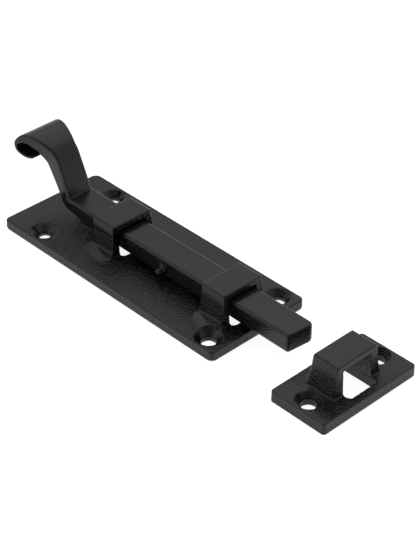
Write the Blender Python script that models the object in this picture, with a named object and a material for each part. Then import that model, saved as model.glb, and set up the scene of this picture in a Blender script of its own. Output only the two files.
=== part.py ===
"""Surface slide bolt: a cast backplate with two bridges, a forged bar with a curled handle, and its keep.

The backplate lies on the XY plane with the centre of its underside at the origin.
The bar slides along X, and +X runs from the curled handle to the keep.
"""

import math

import bmesh
import bpy
from mathutils import Matrix, Vector

MM = 0.001

# Backplate casting
PLATE_LENGTH = 102.0 * MM
PLATE_WIDTH = 41.4 * MM
PLATE_THICKNESS = 3.7 * MM
PLATE_CORNER_RADIUS = 2.6 * MM
PLATE_EDGE_CHAMFER = 0.4 * MM
TAIL_HOLE_INSET = 15.1 * MM
NOSE_HOLE_INSET = 6.9 * MM
HOLE_SIDE_INSET = 5.3 * MM
TAIL_BRIDGE_INSET = 37.6 * MM
NOSE_BRIDGE_INSET = 12.5 * MM

# Bridges, the same on the backplate and on the keep
BRIDGE_LENGTH = 10.1 * MM
BRIDGE_STRAP = 2.45 * MM
BRIDGE_LEG = 2.65 * MM
BRIDGE_CORNER_RADIUS = 0.7 * MM
BRIDGE_CROWN_ROUND = 0.9 * MM
LEG_DRAFT = 0.9 * MM
FOOT_FILLET = 0.8 * MM
WINDOW_PAST_NOSE_FACE = 1.9 * MM
KEEP_WINDOW_PAST_NOSE_FACE = 3.1 * MM
WINDOW_PAST_TAIL_FACE = 1.5 * MM
WINDOW_CORNER_RADIUS = 1.4 * MM
FOOT_PAD_LENGTH = 14.0 * MM
FOOT_PAD_REACH = 4.4 * MM
FOOT_PAD_HEIGHT = 0.7 * MM
FOOT_PAD_TURN = math.radians(-10)

# Countersunk screw holes
SCREW_HOLE_DIAMETER = 4.8 * MM
COUNTERSINK_DIAMETER = 8.8 * MM
COUNTERSINK_DEPTH = 2.0 * MM

# Keep casting
KEEP_LENGTH = 22.4 * MM
KEEP_WIDTH = 41.0 * MM
KEEP_THICKNESS = 4.1 * MM
KEEP_CORNER_RADIUS = 1.6 * MM
KEEP_HOLE_SIDE_INSET = 5.2 * MM
KEEP_DISTANCE = 24.6 * MM
KEEP_SIDE_CLEARANCE = 0.6 * MM

# Bolt bar and its handle
BAR_WIDTH = 10.9 * MM
BAR_HEIGHT = 6.8 * MM
BAR_EDGE_ROUND = 0.5 * MM
NOSE_PROJECTION = 17.3 * MM
NOSE_CORNER_ROUND = 1.6 * MM
NOSE_FACE_ROUND = 0.7 * MM
SPRING_SPACE = 1.7 * MM
BAR_TOP_CLEARANCE = 0.35 * MM
BAR_SIDE_CLEARANCE = 0.4 * MM
HANDLE_CREASE_INSET = 16.5 * MM
TAIL_TAPER_LENGTH = 8.5 * MM

# The face of the handle, from the crease at its foot to the tip of the curl. Each bend turns by an
# angle in degrees about a radius, and ends with a thickness and a width.
HANDLE_BENDS = (
    ("crease", -71.4, 0.4 * MM, 4.8 * MM, 10.4 * MM),
    ("rise", 6.7, 102.4 * MM, 7.0 * MM, 9.8 * MM),
    ("lean", 28.0, 9.8 * MM, 6.7 * MM, 10.4 * MM),
    ("crown", 29.8, 17.0 * MM, 4.5 * MM, 14.9 * MM),
    ("roll", 65.8, 7.7 * MM, 2.0 * MM, 18.2 * MM),
    ("under", 101.7, 2.8 * MM, 0.9 * MM, 18.0 * MM),
    ("tip", 46.0, 9.6 * MM, 0.9 * MM, 17.6 * MM),
)
TAIL_THICKNESS = 4.8 * MM
BEND_STEP = math.radians(7)
HANDLE_LONGEST_STEP = 1.6 * MM

# Stop pin
PIN_INSET = 63.0 * MM
PIN_HEIGHT_IN_BAR = 1.9 * MM
PIN_SHANK_RADIUS = 0.8 * MM
PIN_BALL_RADIUS = 1.35 * MM
PIN_SHANK_DEPTH = 3.0 * MM
PIN_CLEARANCE = 0.3 * MM

# Friction spring
SPRING_WIDTH = 4.8 * MM
SPRING_THICKNESS = 0.4 * MM
SPRING_SEAT_GAP = 0.3 * MM
SPRING_TAB_DROP = 2.4 * MM
SPRING_STEPS = 12

ARC_STEPS = 5
CIRCLE_STEPS = 40
CUT_MARGIN = 1.0 * MM
JOIN_OVERLAP = 0.8 * MM

# Heights and places that follow from the sizes above
BAR_BOTTOM = PLATE_THICKNESS + SPRING_SPACE
BAR_TOP = BAR_BOTTOM + BAR_HEIGHT
SLOT_TOP = BAR_TOP + BAR_TOP_CLEARANCE
BRIDGE_TOP = SLOT_TOP + BRIDGE_STRAP
TAIL_EDGE = -PLATE_LENGTH / 2
NOSE_EDGE = PLATE_LENGTH / 2
SLOT_HALF_WIDTH = BAR_WIDTH / 2 + BAR_SIDE_CLEARANCE
KEEP_SLOT_HALF_WIDTH = BAR_WIDTH / 2 + KEEP_SIDE_CLEARANCE
TAIL_BRIDGE_X = TAIL_EDGE + TAIL_BRIDGE_INSET
NOSE_BRIDGE_X = NOSE_EDGE - NOSE_BRIDGE_INSET
KEEP_X = NOSE_EDGE + KEEP_DISTANCE + KEEP_LENGTH / 2
NOSE_TIP_X = NOSE_EDGE + NOSE_PROJECTION
CREASE_X = TAIL_EDGE + HANDLE_CREASE_INSET


def clear_scene():
    for item in list(bpy.data.objects):
        bpy.data.objects.remove(item, do_unlink=True)


def painted_iron(name, shade, roughness):
    material = bpy.data.materials.new(name)
    material.use_nodes = True
    shader = material.node_tree.nodes["Principled BSDF"]
    shader.inputs["Base Color"].default_value = (shade, shade, shade, 1.0)
    shader.inputs["Roughness"].default_value = roughness
    shader.inputs["Metallic"].default_value = 0.0
    return material


def spring_steel(name):
    material = bpy.data.materials.new(name)
    material.use_nodes = True
    shader = material.node_tree.nodes["Principled BSDF"]
    shader.inputs["Base Color"].default_value = (0.36, 0.37, 0.39, 1.0)
    shader.inputs["Roughness"].default_value = 0.35
    shader.inputs["Metallic"].default_value = 1.0
    return material


def add_object(name, bm, material):
    bmesh.ops.recalc_face_normals(bm, faces=bm.faces)
    mesh = bpy.data.meshes.new(name)
    bm.to_mesh(mesh)
    bm.free()
    item = bpy.data.objects.new(name, mesh)
    bpy.context.scene.collection.objects.link(item)
    if material:
        mesh.materials.append(material)
    return item


def rounded_rectangle(half_x, half_y, radius, height):
    """Corner points, anticlockwise, of a rectangle about the origin with round corners."""
    points = []
    corners = ((1, 1, 0), (-1, 1, 90), (-1, -1, 180), (1, -1, 270))
    for side_x, side_y, start in corners:
        centre_x = side_x * (half_x - radius)
        centre_y = side_y * (half_y - radius)
        for step in range(ARC_STEPS + 1):
            angle = math.radians(start + 90 * step / ARC_STEPS)
            x = centre_x + radius * math.cos(angle)
            y = centre_y + radius * math.sin(angle)
            points.append(Vector((x, y, height)))
    return points


def ellipse(radius_x, radius_y, height):
    points = []
    for step in range(CIRCLE_STEPS):
        angle = 2 * math.pi * step / CIRCLE_STEPS
        points.append(Vector((radius_x * math.cos(angle), radius_y * math.sin(angle), height)))
    return points


def loft(rings):
    """A closed solid through rings that have the same number of points."""
    bm = bmesh.new()
    loops = [[bm.verts.new(point) for point in ring] for ring in rings]
    count = len(loops[0])
    for lower, upper in zip(loops, loops[1:]):
        for index in range(count):
            after = (index + 1) % count
            bm.faces.new((lower[index], lower[after], upper[after], upper[index]))
    bm.faces.new(list(reversed(loops[0])))
    bm.faces.new(loops[-1])
    return bm


def use_boolean(target, operand, operation):
    operand.hide_render = True
    operand.display_type = "WIRE"
    modifier = target.modifiers.new(operand.name, "BOOLEAN")
    modifier.object = operand
    modifier.operation = operation
    modifier.solver = "EXACT"


def plate_solid(name, length, width, thickness, corner_radius, material):
    half_x = length / 2
    half_y = width / 2
    inset = PLATE_EDGE_CHAMFER
    rings = (
        rounded_rectangle(half_x, half_y, corner_radius, 0.0),
        rounded_rectangle(half_x, half_y, corner_radius, thickness - inset),
        rounded_rectangle(half_x - inset, half_y - inset, corner_radius - inset, thickness),
    )
    return add_object(name, loft(rings), material)


def bridge_solid(name, slot_half_width, plate_thickness):
    """The outside of one bridge: legs that widen towards a filleted foot, and a rounded crown."""
    half_x = BRIDGE_LENGTH / 2
    crown_y = slot_half_width + BRIDGE_LEG
    foot_y = crown_y + LEG_DRAFT
    foot_x = half_x + LEG_DRAFT / 3
    radius = BRIDGE_CORNER_RADIUS
    rings = [
        rounded_rectangle(
            foot_x + FOOT_FILLET, foot_y + FOOT_FILLET, radius + FOOT_FILLET, plate_thickness - JOIN_OVERLAP
        )
    ]
    for step in range(ARC_STEPS + 1):
        angle = math.radians(90 * step / ARC_STEPS)
        spread = FOOT_FILLET * (1 - math.sin(angle))
        height = plate_thickness + FOOT_FILLET * (1 - math.cos(angle))
        rings.append(rounded_rectangle(foot_x + spread, foot_y + spread, radius + spread, height))
    crown_radius = BRIDGE_CROWN_ROUND
    for step in range(ARC_STEPS):
        angle = math.radians(90 * step / ARC_STEPS)
        draw_in = crown_radius * (1 - math.cos(angle))
        height = BRIDGE_TOP - crown_radius * (1 - math.sin(angle))
        rings.append(
            rounded_rectangle(
                half_x - draw_in / 2, crown_y - draw_in, radius * (1 - 0.5 * step / ARC_STEPS), height
            )
        )
    rings.append(rounded_rectangle(half_x - crown_radius / 2, crown_y - crown_radius, radius / 2, BRIDGE_TOP))
    return add_object(name, loft(rings), None)


def slot_cutter(name, slot_half_width, past_nose_face):
    """The way for the bar under one bridge, which goes on down as a window through the plate."""
    tail_x = -BRIDGE_LENGTH / 2 - WINDOW_PAST_TAIL_FACE
    nose_x = BRIDGE_LENGTH / 2 + past_nose_face
    middle = Vector(((tail_x + nose_x) / 2, 0.0, 0.0))
    half_x = (nose_x - tail_x) / 2
    rings = []
    for height in (-CUT_MARGIN, SLOT_TOP):
        ring = rounded_rectangle(half_x, slot_half_width, WINDOW_CORNER_RADIUS, height)
        rings.append([point + middle for point in ring])
    return add_object(name, loft(rings), None)


def foot_pad(name, slot_half_width, plate_thickness):
    """The low leaf-shaped pad beside a bridge's near leg."""
    leg_y = slot_half_width + BRIDGE_LEG + LEG_DRAFT
    half_length = FOOT_PAD_LENGTH / 2
    base = plate_thickness - JOIN_OVERLAP
    top = plate_thickness + FOOT_PAD_HEIGHT
    edge = FOOT_PAD_HEIGHT
    rings = (
        ellipse(half_length, FOOT_PAD_REACH, base),
        ellipse(half_length, FOOT_PAD_REACH, plate_thickness),
        ellipse(half_length - edge, FOOT_PAD_REACH - edge, top),
    )
    item = add_object(name, loft(rings), None)
    item.location = Vector((0.0, -leg_y, 0.0))
    item.rotation_euler = (0.0, 0.0, FOOT_PAD_TURN)
    return item


def screw_cutter(name, x, y, plate_thickness):
    """A through hole with a 90 degree countersink at the top face."""
    hole = SCREW_HOLE_DIAMETER / 2
    mouth = COUNTERSINK_DIAMETER / 2
    slope = (mouth - hole) / COUNTERSINK_DEPTH
    rings = (
        ellipse(hole, hole, -CUT_MARGIN),
        ellipse(hole, hole, plate_thickness - COUNTERSINK_DEPTH),
        ellipse(mouth + slope * CUT_MARGIN, mouth + slope * CUT_MARGIN, plate_thickness + CUT_MARGIN),
    )
    item = add_object(name, loft(rings), None)
    item.location = (x, y, 0.0)
    return item


def make_backplate():
    material = painted_iron("backplate_black_iron", 0.018, 0.42)
    plate = plate_solid(
        "backplate", PLATE_LENGTH, PLATE_WIDTH, PLATE_THICKNESS, PLATE_CORNER_RADIUS, material
    )
    for label, bridge_x in (("tail", TAIL_BRIDGE_X), ("nose", NOSE_BRIDGE_X)):
        bridge = bridge_solid("cut_" + label + "_bridge", SLOT_HALF_WIDTH, PLATE_THICKNESS)
        bridge.location.x = bridge_x
        use_boolean(plate, bridge, "UNION")
        pad = foot_pad("cut_" + label + "_pad", SLOT_HALF_WIDTH, PLATE_THICKNESS)
        pad.location.x = bridge_x
        use_boolean(plate, pad, "UNION")
    for label, bridge_x in (("tail", TAIL_BRIDGE_X), ("nose", NOSE_BRIDGE_X)):
        slot = slot_cutter("cut_" + label + "_slot", SLOT_HALF_WIDTH, WINDOW_PAST_NOSE_FACE)
        slot.location.x = bridge_x
        use_boolean(plate, slot, "DIFFERENCE")
    hole_y = PLATE_WIDTH / 2 - HOLE_SIDE_INSET
    hole_rows = (("tail", TAIL_EDGE + TAIL_HOLE_INSET), ("nose", NOSE_EDGE - NOSE_HOLE_INSET))
    for label, hole_x in hole_rows:
        for side_name, side in (("near", -1), ("far", 1)):
            name = "cut_" + label + "_" + side_name + "_hole"
            use_boolean(plate, screw_cutter(name, hole_x, side * hole_y, PLATE_THICKNESS), "DIFFERENCE")


def make_keep():
    material = painted_iron("keep_black_iron", 0.018, 0.42)
    keep = plate_solid("keep", KEEP_LENGTH, KEEP_WIDTH, KEEP_THICKNESS, KEEP_CORNER_RADIUS, material)
    keep.location.x = KEEP_X
    bridge = bridge_solid("cut_keep_bridge", KEEP_SLOT_HALF_WIDTH, KEEP_THICKNESS)
    bridge.location.x = KEEP_X
    use_boolean(keep, bridge, "UNION")
    slot = slot_cutter("cut_keep_slot", KEEP_SLOT_HALF_WIDTH, KEEP_WINDOW_PAST_NOSE_FACE)
    slot.location.x = KEEP_X
    use_boolean(keep, slot, "DIFFERENCE")
    hole_y = KEEP_WIDTH / 2 - KEEP_HOLE_SIDE_INSET
    for side_name, side in (("near", -1), ("far", 1)):
        cutter = screw_cutter("cut_keep_" + side_name + "_hole", KEEP_X, side * hole_y, KEEP_THICKNESS)
        use_boolean(keep, cutter, "DIFFERENCE")


def smooth_between(first, last, share):
    return first + (last - first) * share


def handle_stations():
    """Stations along the handle's face: point in the XZ plane, heading, thickness and width."""
    x = CREASE_X + TAIL_TAPER_LENGTH
    z = BAR_TOP
    heading = math.pi
    thickness = BAR_HEIGHT
    width = BAR_WIDTH
    stations = []
    taper_steps = math.ceil(TAIL_TAPER_LENGTH / HANDLE_LONGEST_STEP)
    for step in range(taper_steps):
        share = step / taper_steps
        ease = share * share * (3 - 2 * share)
        stations.append(
            (x - TAIL_TAPER_LENGTH * share, z, heading, smooth_between(thickness, TAIL_THICKNESS, ease), width)
        )
    x = CREASE_X
    thickness = TAIL_THICKNESS
    stations.append((x, z, heading, thickness, width))
    for _label, degrees, radius, end_thickness, end_width in HANDLE_BENDS:
        turn = math.radians(degrees)
        side = 1 if turn > 0 else -1
        steps = max(math.ceil(abs(turn) / BEND_STEP), math.ceil(abs(turn) * radius / HANDLE_LONGEST_STEP))
        centre_x = x - side * radius * math.sin(heading)
        centre_z = z + side * radius * math.cos(heading)
        for step in range(1, steps + 1):
            share = step / steps
            angle = heading + turn * share
            stations.append(
                (
                    centre_x + side * radius * math.sin(angle),
                    centre_z - side * radius * math.cos(angle),
                    angle,
                    smooth_between(thickness, end_thickness, share),
                    smooth_between(width, end_width, share),
                )
            )
        x, z, heading = stations[-1][:3]
        thickness = end_thickness
        width = end_width
    return stations


def bar_section(x, z, heading, thickness, width, edge_round):
    """One cross-section of the bar: a rectangle with rounded long edges, square to its heading."""
    inward = Vector((-math.sin(heading), 0.0, math.cos(heading)))
    centre = Vector((x, 0.0, z)) + inward * (thickness / 2)
    radius = min(edge_round, thickness * 0.4)
    half_t = thickness / 2 - radius
    half_w = width / 2 - radius
    points = []
    corners = ((1, 1, 0), (-1, 1, 90), (-1, -1, 180), (1, -1, 270))
    for side_w, side_t, start in corners:
        for degrees in (start, start + 45, start + 90):
            angle = math.radians(degrees)
            along_w = side_w * half_w + radius * math.cos(angle)
            along_t = side_t * half_t + radius * math.sin(angle)
            points.append(centre + Vector((0.0, along_w, 0.0)) + inward * along_t)
    return points


def nose_rings():
    """Cross-sections from the rounded nose back to where the handle's taper starts."""
    rings = []
    for step in range(ARC_STEPS + 1):
        angle = math.radians(90 * step / ARC_STEPS)
        x = NOSE_TIP_X - NOSE_CORNER_ROUND * (1 - math.sin(angle))
        width = BAR_WIDTH - 2 * NOSE_CORNER_ROUND * (1 - math.cos(angle))
        face_round = NOSE_FACE_ROUND * (1 - math.cos(angle))
        height = BAR_HEIGHT - 2 * face_round
        rings.append(bar_section(x, BAR_TOP - face_round, math.pi, height, width, BAR_EDGE_ROUND))
    rings.reverse()
    return rings


def make_bolt_bar():
    material = painted_iron("bolt_bar_black_iron", 0.020, 0.34)
    rings = nose_rings()
    for x, z, heading, thickness, width in handle_stations():
        rings.append(bar_section(x, z, heading, thickness, width, BAR_EDGE_ROUND))
    bar = add_object("bolt_bar", loft(rings), material)
    bore_radius = PIN_SHANK_RADIUS + PIN_CLEARANCE
    bore_depth = PIN_SHANK_DEPTH + PIN_CLEARANCE
    rings = [
        ellipse(bore_radius, bore_radius, -CUT_MARGIN),
        ellipse(bore_radius, bore_radius, bore_depth),
    ]
    bore = add_object("cut_pin_bore", loft(rings), None)
    bore.matrix_world = pin_place()
    use_boolean(bar, bore, "DIFFERENCE")


def pin_place():
    """The stop pin's frame: its Z axis runs from the bar's near side into the bar."""
    height = BAR_BOTTOM + PIN_HEIGHT_IN_BAR
    where = Matrix.Translation((TAIL_EDGE + PIN_INSET, -BAR_WIDTH / 2, height))
    return where @ Matrix.Rotation(-math.pi / 2, 4, "X")


def make_stop_pin():
    """A short shank in the bar's side with a ball head that stands proud of it."""
    material = painted_iron("stop_pin_black_iron", 0.024, 0.30)
    neck_angle = math.asin(PIN_SHANK_RADIUS / PIN_BALL_RADIUS)
    centre = -PIN_CLEARANCE - PIN_BALL_RADIUS * math.cos(neck_angle)
    rings = []
    steps = 10
    pole_angle = math.radians(12)
    for step in range(steps + 1):
        angle = smooth_between(pole_angle, math.pi - neck_angle, step / steps)
        radius = PIN_BALL_RADIUS * math.sin(angle)
        rings.append(ellipse(radius, radius, centre - PIN_BALL_RADIUS * math.cos(angle)))
    rings.append(ellipse(PIN_SHANK_RADIUS, PIN_SHANK_RADIUS, PIN_SHANK_DEPTH))
    pin = add_object("stop_pin", loft(rings), material)
    for face in pin.data.polygons:
        face.use_smooth = True
    pin.matrix_world = pin_place()


def make_friction_spring():
    """A bowed strip under the bar, with a tab at each end that drops into a window of the plate."""
    tail_face = TAIL_BRIDGE_X + BRIDGE_LENGTH / 2 + WINDOW_PAST_NOSE_FACE
    nose_face = NOSE_BRIDGE_X - BRIDGE_LENGTH / 2 - WINDOW_PAST_TAIL_FACE
    tail_x = tail_face - SPRING_SEAT_GAP
    nose_x = nose_face + SPRING_SEAT_GAP
    seat = PLATE_THICKNESS + SPRING_SEAT_GAP
    bow = BAR_BOTTOM - SPRING_SEAT_GAP - SPRING_THICKNESS - seat
    lower = []
    for step in range(SPRING_STEPS + 1):
        share = step / SPRING_STEPS
        height = seat + bow * math.sin(math.pi * share) ** 2
        lower.append((smooth_between(tail_x, nose_x, share), height))
    tab_bottom = seat - SPRING_TAB_DROP
    outline = [(tail_x - SPRING_THICKNESS, tab_bottom), (tail_x, tab_bottom)]
    outline += lower
    outline += [(nose_x, tab_bottom), (nose_x + SPRING_THICKNESS, tab_bottom)]
    upper = [(x, z + SPRING_THICKNESS) for x, z in reversed(lower)]
    upper[0] = (nose_x + SPRING_THICKNESS, upper[0][1])
    upper[-1] = (tail_x - SPRING_THICKNESS, upper[-1][1])
    outline += upper
    rings = []
    for side in (-1, 1):
        rings.append([Vector((x, side * SPRING_WIDTH / 2, z)) for x, z in outline])
    add_object("friction_spring", loft(rings), spring_steel("friction_spring_steel"))


clear_scene()
make_backplate()
make_bolt_bar()
make_stop_pin()
make_friction_spring()
make_keep()
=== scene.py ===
"""Surface slide bolt with a curled handle, and its keep, in satin black paint.

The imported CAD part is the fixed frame. Each of its solids is stood for here by a finer piece: two
castings with soft edges, fillets and a pebbled skin, a forged bar, a swaged stop pin and a spring.
X runs from the handle to the keep, Z is up, and the origin is the centre of the backplate's underside.
"""

import math

import bmesh
import bpy
import numpy as np
from bpy.props import FloatProperty, FloatVectorProperty, PointerProperty
from bpy.types import Operator, Panel, PropertyGroup
from mathutils import Matrix, Vector, noise


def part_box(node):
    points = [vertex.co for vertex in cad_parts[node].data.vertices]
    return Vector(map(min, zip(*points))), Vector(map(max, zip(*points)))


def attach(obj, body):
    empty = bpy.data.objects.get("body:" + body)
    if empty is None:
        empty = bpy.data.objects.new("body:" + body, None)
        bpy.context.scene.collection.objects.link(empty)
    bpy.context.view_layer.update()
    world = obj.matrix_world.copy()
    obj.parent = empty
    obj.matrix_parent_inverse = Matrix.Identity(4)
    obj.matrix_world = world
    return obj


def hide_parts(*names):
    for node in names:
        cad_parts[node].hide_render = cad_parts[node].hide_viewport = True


bl_info = {
    "name": "Surface slide bolt",
    "version": (1, 0, 0),
    "blender": (4, 5, 0),
    "location": "3D View > Sidebar > Slide bolt",
    "description": "Makes a cast surface bolt, its curled bar, stop pin, spring and keep",
    "category": "Object",
}

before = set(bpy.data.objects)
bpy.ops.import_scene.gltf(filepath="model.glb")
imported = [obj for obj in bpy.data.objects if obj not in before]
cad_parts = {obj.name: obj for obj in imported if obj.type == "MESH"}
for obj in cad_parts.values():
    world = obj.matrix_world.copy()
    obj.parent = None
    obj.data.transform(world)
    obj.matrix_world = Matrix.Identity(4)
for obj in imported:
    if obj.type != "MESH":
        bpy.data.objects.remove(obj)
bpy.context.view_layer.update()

MM = 0.001
PLATE_LOW, PLATE_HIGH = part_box("backplate")
KEEP_LOW, KEEP_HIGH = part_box("keep")
BAR_LOW, BAR_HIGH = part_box("bolt_bar")
SPRING_LOW, SPRING_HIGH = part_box("friction_spring")
PIN_LOW, PIN_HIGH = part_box("stop_pin")
BRIDGE_TOP = PLATE_HIGH.z
KEEP_X = (KEEP_LOW.x + KEEP_HIGH.x) / 2

# Bends of the handle's face from the crease to the tip of the curl: turn in degrees, radius, and the
# thickness and width at the bend's end.
HANDLE_BENDS = (
    (-71.4, 0.4 * MM, 4.8 * MM, 10.4 * MM),
    (6.7, 102.4 * MM, 7.0 * MM, 9.8 * MM),
    (28.0, 9.8 * MM, 6.7 * MM, 10.4 * MM),
    (29.8, 17.0 * MM, 4.5 * MM, 14.9 * MM),
    (65.8, 7.7 * MM, 2.0 * MM, 18.2 * MM),
    (101.7, 2.8 * MM, 0.9 * MM, 18.0 * MM),
    (46.0, 9.6 * MM, 0.9 * MM, 17.6 * MM),
)

# The low leaf-shaped pads at the near feet of the two bridges: centre, half sizes and turn.
FOOT_PADS = (
    {"centre": (-13.5 * MM, -10.3 * MM), "half": (6.9 * MM, 3.4 * MM), "turn": math.radians(-9)},
    {"centre": (40.1 * MM, -12.1 * MM), "half": (8.5 * MM, 3.3 * MM), "turn": math.radians(-13)},
)

# Screw holes: centre, and the radius that the paint leaves at the throat.
PLATE_HOLES = (
    {"centre": (-35.9 * MM, -15.4 * MM), "throat": 1.95 * MM},
    {"centre": (-35.9 * MM, 15.4 * MM), "throat": 2.1 * MM},
    {"centre": (44.1 * MM, -15.4 * MM), "throat": 2.4 * MM},
    {"centre": (44.1 * MM, 15.4 * MM), "throat": 2.3 * MM},
)
KEEP_HOLES = (
    {"centre": (KEEP_X, -15.3 * MM), "throat": 2.4 * MM},
    {"centre": (KEEP_X, 15.3 * MM), "throat": 2.4 * MM},
)

LEDGE_HEIGHT = 11.7 * MM
RING_PITCH = 0.6 * MM
FLARE_HEIGHT = 3.4 * MM
FOOT_FILLET = 0.35 * MM

# Steps along the bar, and the steps across, up and round each corner of its section.
BAR_STEP = 0.55 * MM
BAR_SECTION = (22, 12, 6)
NOSE_STEPS = 9
TAPER_STEPS = 18
BOW_STEPS = 60
CAP_SHARES = (0.88, 0.66, 0.4, 0.15)

# The burr that the swaging of the stop pin leaves on the bar: place along X, height, reaches and rise.
BURR_X = 12.0 * MM
BURR_Z = 8.7 * MM
BURR_LENGTH = 1.35 * MM
BURR_HEIGHT = 1.1 * MM
BURR_RISE = 0.34 * MM

CAMERA_PLACE = (0.350370, -0.309640, 0.336200)
CAMERA_TURN = math.radians(46.18)
CAMERA_TILT = math.radians(36.11)
CAMERA_ROLL = math.radians(0.15)
CAMERA_LENS = 150.4
KEY_PLACE = (-0.35, 0.45, 1.1)
FILL_PLACE = (-0.40, -0.90, 0.55)
LAMP_TARGET = (0.02, 0.0, 0.0)

# Where the studio is open and dim, which leaves the castings' upper faces their contrast.
GAP_DIRECTION = (0.5827, -0.5594, 0.5895)

# Paint on the castings, the bar and the pin: pebbles and peel per metre, and the bump's depth.
CASTING_GRAIN = (1950.0, 5200.0, 0.14 * MM)
BAR_GRAIN = (2200.0, 3600.0, 0.08 * MM)
PIN_GRAIN = (2200.0, 6000.0, 0.03 * MM)


def length(name, description, default):
    """A length property in metres."""
    return FloatProperty(
        name=name, description=description, default=default, min=0.0, precision=6, unit="LENGTH"
    )


def place(name, description, default):
    """A place along X in metres."""
    return FloatProperty(name=name, description=description, default=default, unit="LENGTH")


def amount(name, description, default, unit="NONE"):
    return FloatProperty(name=name, description=description, default=default, min=0.0, unit=unit)


def share(name, description, default):
    return FloatProperty(
        name=name, description=description, default=default, min=0.0, max=1.0, subtype="FACTOR"
    )


def colour(name, description, default):
    return FloatVectorProperty(
        name=name, description=description, default=default, size=3, min=0.0, max=1.0, subtype="COLOR"
    )


class CastingSizes(PropertyGroup):
    plate_thickness: length("Plate thickness", "Thickness of the backplate", 3.7 * MM)
    keep_thickness: length("Keep thickness", "Thickness of the keep's plate", 4.1 * MM)
    tail_corner: length("Tail corners", "Corner radius of the backplate at its handle end", 2.6 * MM)
    nose_corner: length("Nose corners", "Corner radius of the backplate at its keep end", 1.8 * MM)
    near_share: share("Near corners", "How round the near corners are next to the far ones", 0.6)
    keep_corner: length("Keep corners", "Corner radius of the keep's plate", 1.2 * MM)
    plate_edge: length("Plate edge", "Round on the upper edge of the backplate", 0.55 * MM)
    keep_edge: length("Keep edge", "Round on the upper edge of the keep's plate", 0.35 * MM)
    tail_bridge: place("Tail bridge", "Place of the bridge by the handle", -13.4 * MM)
    nose_bridge: place("Nose bridge", "Place of the bridge by the nose", 38.5 * MM)
    bridge_length: length("Bridge length", "Length of each bridge along the bar", 10.1 * MM)
    leg: length("Leg", "Thickness of a bridge's leg at its top", 2.65 * MM)
    leg_draft: length("Leg draft", "How much a leg widens down to its foot", 0.9 * MM)
    strap: length("Strap", "Thickness of a bridge over the bar", 2.45 * MM)
    crown: length("Crown", "Round along a bridge's edges to the handle and the nose", 0.45 * MM)
    slot: length("Slot", "Width of the way for the bar in the backplate", 11.7 * MM)
    keep_slot: length("Keep slot", "Width of the way for the bar in the keep", 12.1 * MM)
    window_ahead: length("Window ahead", "Reach of a window past its bridge to the nose", 1.9 * MM)
    keep_window: length("Keep window", "Reach of the keep's window past its bridge", 3.1 * MM)
    window_behind: length("Window behind", "Reach of a window past its bridge to the handle", 1.5 * MM)
    countersink: length("Countersink", "Diameter of a countersink at its mouth", 8.8 * MM)
    sink_depth: length("Countersink depth", "Depth of a countersink", 2.0 * MM)
    pad_height: length("Pad height", "Height of the gussets against the near legs", 1.7 * MM)
    grain_height: length("Grain height", "Depth of the pebbled casting skin", 0.18 * MM)
    grain_size: length("Grain size", "Size of the pebbles of the casting skin", 0.62 * MM)
    mesh_size: length("Mesh size", "Side of a face of the castings' upper skin", 0.27 * MM)


class BarSizes(PropertyGroup):
    width: length("Bar width", "Width of the bar", 10.9 * MM)
    height: length("Bar height", "Height of the bar", 6.8 * MM)
    underside: length("Bar underside", "Height of the bar's underside", 5.4 * MM)
    edge: length("Bar edge", "Round along the bar's edges", 1.0 * MM)
    near_corner: length("Near nose corner", "Round of the nose's near corner", 0.8 * MM)
    far_corner: length("Far nose corner", "Round of the nose's far corner", 2.0 * MM)
    nose_face: length("Nose face", "Round on the nose's upper and lower edges", 0.6 * MM)
    nose_skew: length("Nose skew", "How much farther the nose reaches on its far side", 1.1 * MM)
    crease: place("Crease", "Place of the crease at the handle's foot", -34.5 * MM)
    taper: length("Taper", "Length over which the bar thins before the crease", 8.5 * MM)
    tail: length("Tail thickness", "Thickness of the bar at the crease", 4.8 * MM)
    forging: length("Forging marks", "Depth of the unevenness on the bar's sides", 0.06 * MM)
    collar: length("Pin collar", "Radius of the swaged collar round the stop pin", 1.75 * MM)
    spring_thickness: length("Spring thickness", "Thickness of the friction spring", 0.4 * MM)


class PaintLook(PropertyGroup):
    black: colour("Black", "Colour of the paint", (0.0034, 0.0036, 0.0022))
    thin: colour("Thin paint", "Colour where the paint lies thin", (0.0058, 0.0060, 0.0042))
    bare: colour("Rubbed edge", "Colour of the paint where edges are rubbed", (0.030, 0.029, 0.029))
    # A lighter colour laid on the valley mask: dust in the castings' hollows, and painted light inside
    # the handle's curl.
    dust_and_light: colour("Dust", "Colour of dust settled in the hollows", (0.05, 0.047, 0.043))
    steel: colour("Spring steel", "Colour of the spring", (0.33, 0.335, 0.35))
    casting_gloss: share("Casting roughness", "Roughness of the paint on the castings", 0.19)
    bar_gloss: share("Bar roughness", "Roughness of the paint on the bar", 0.19)
    wear: share("Edge wear", "How much the edges are rubbed", 0.35)
    # How much of that lighter colour is laid, as dust and as painted light in the curl.
    dust_and_light_amount: share("Dusting", "How much dust lies in the hollows", 0.35)


class StageLook(PropertyGroup):
    floor: colour("Floor", "Colour of the floor", (0.55, 0.55, 0.553))
    floor_glow: amount("Floor glow", "Light that comes up through the floor", 0.52)
    floor_bright: amount("Floor brightness", "Extra brightness of the floor to the camera", 0.36)
    air: colour("Studio", "Colour of the studio around", (1.0, 1.0, 1.0))
    air_light: amount("Studio light", "Brightness of the studio", 0.57)
    gap: share("Gap", "Brightness left in the open gap of the studio", 0.4)
    key_light: amount("Key light", "Power of the key light", 1.3, "POWER")
    fill_light: amount("Fill light", "Power of the fill light", 0.5, "POWER")


# --- Rounded forms, as distances in metres: negative inside, zero on the surface ---


def round_join(first, second, radius):
    """Two forms made one, with a fillet where they meet."""
    over_first = np.maximum(radius - first, 0.0)
    over_second = np.maximum(radius - second, 0.0)
    return np.maximum(radius, np.minimum(first, second)) - np.hypot(over_first, over_second)


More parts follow.
